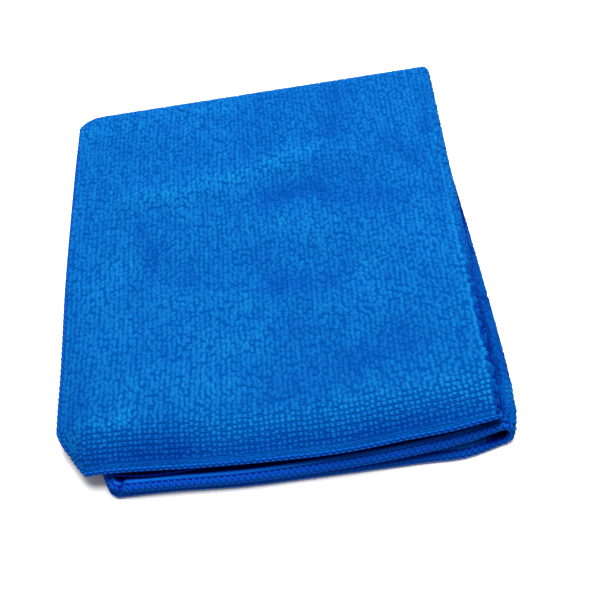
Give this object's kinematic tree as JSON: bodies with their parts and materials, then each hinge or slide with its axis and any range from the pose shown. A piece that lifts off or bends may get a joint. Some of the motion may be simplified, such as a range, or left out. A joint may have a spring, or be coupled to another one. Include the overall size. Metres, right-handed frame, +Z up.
{
  "type": "microfibre cloth",
  "caption": "Plain blue terry microfibre cleaning cloth with an overlocked hem, lying flat, folded in half and in half again.",
  "frame": {"origin": "middle of the footprint, on the surface that the cloth lies on", "axes": "+Z up, +X towards the first crease on the right, +Y towards the second crease at the back"},
  "size_m": [0.1568, 0.158, 0.0153],
  "materials": {
    "microfibre_terry": "matt royal blue terry of short looped pile in fine ribs, with a smoother overlocked hem in the same blue"
  },
  "bodies": {
    "root": {"cloth": "microfibre_terry"}
  },
  "joints": []
}
